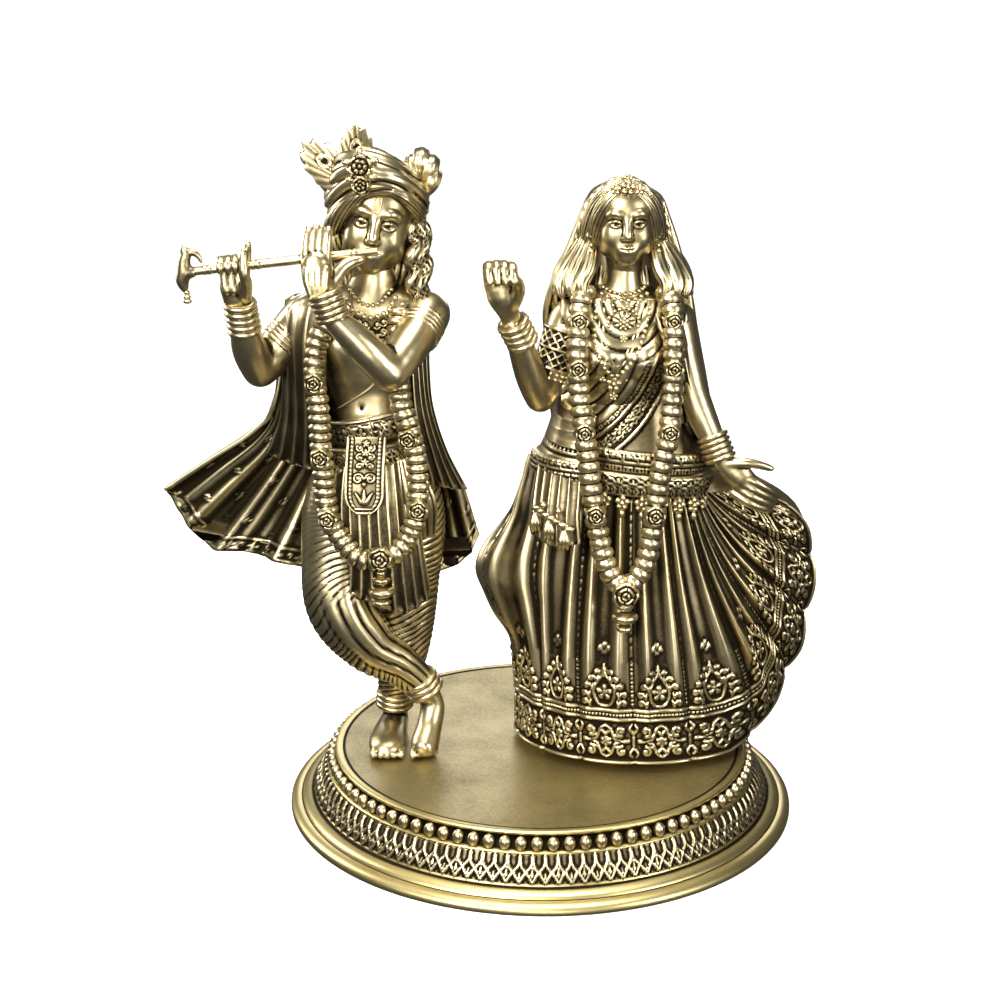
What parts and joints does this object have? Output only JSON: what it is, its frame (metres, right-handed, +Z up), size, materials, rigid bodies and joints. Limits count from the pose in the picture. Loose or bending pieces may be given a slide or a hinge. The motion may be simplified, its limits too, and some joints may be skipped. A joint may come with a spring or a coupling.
{
  "type": "radha krishna statue",
  "caption": "Cast brass pair of standing figures, one playing a flute and one holding out a wide skirt, on one round base with beads and lattice.",
  "frame": {"origin": "centre of the round base's underside", "axes": "+Z up; -Y towards the viewer, the side both figures face; +X to the viewer's right, from Krishna to Radha"},
  "size_m": [0.372, 0.2892, 0.3835],
  "materials": {
    "base_brass": "antique brass, satin polish on the plate, dark patina in the lattice and between the beads",
    "krishna_brass": "antique brass, rubbed bright on raised carving, dark brown patina in the folds",
    "radha_brass": "antique brass, rubbed bright on raised carving, dark brown patina in the folds",
    "flute_brass": "antique brass, polished along its length"
  },
  "bodies": {
    "root": {"base": "base_brass", "krishna": "krishna_brass", "radha": "radha_brass", "flute": "flute_brass"}
  },
  "joints": []
}
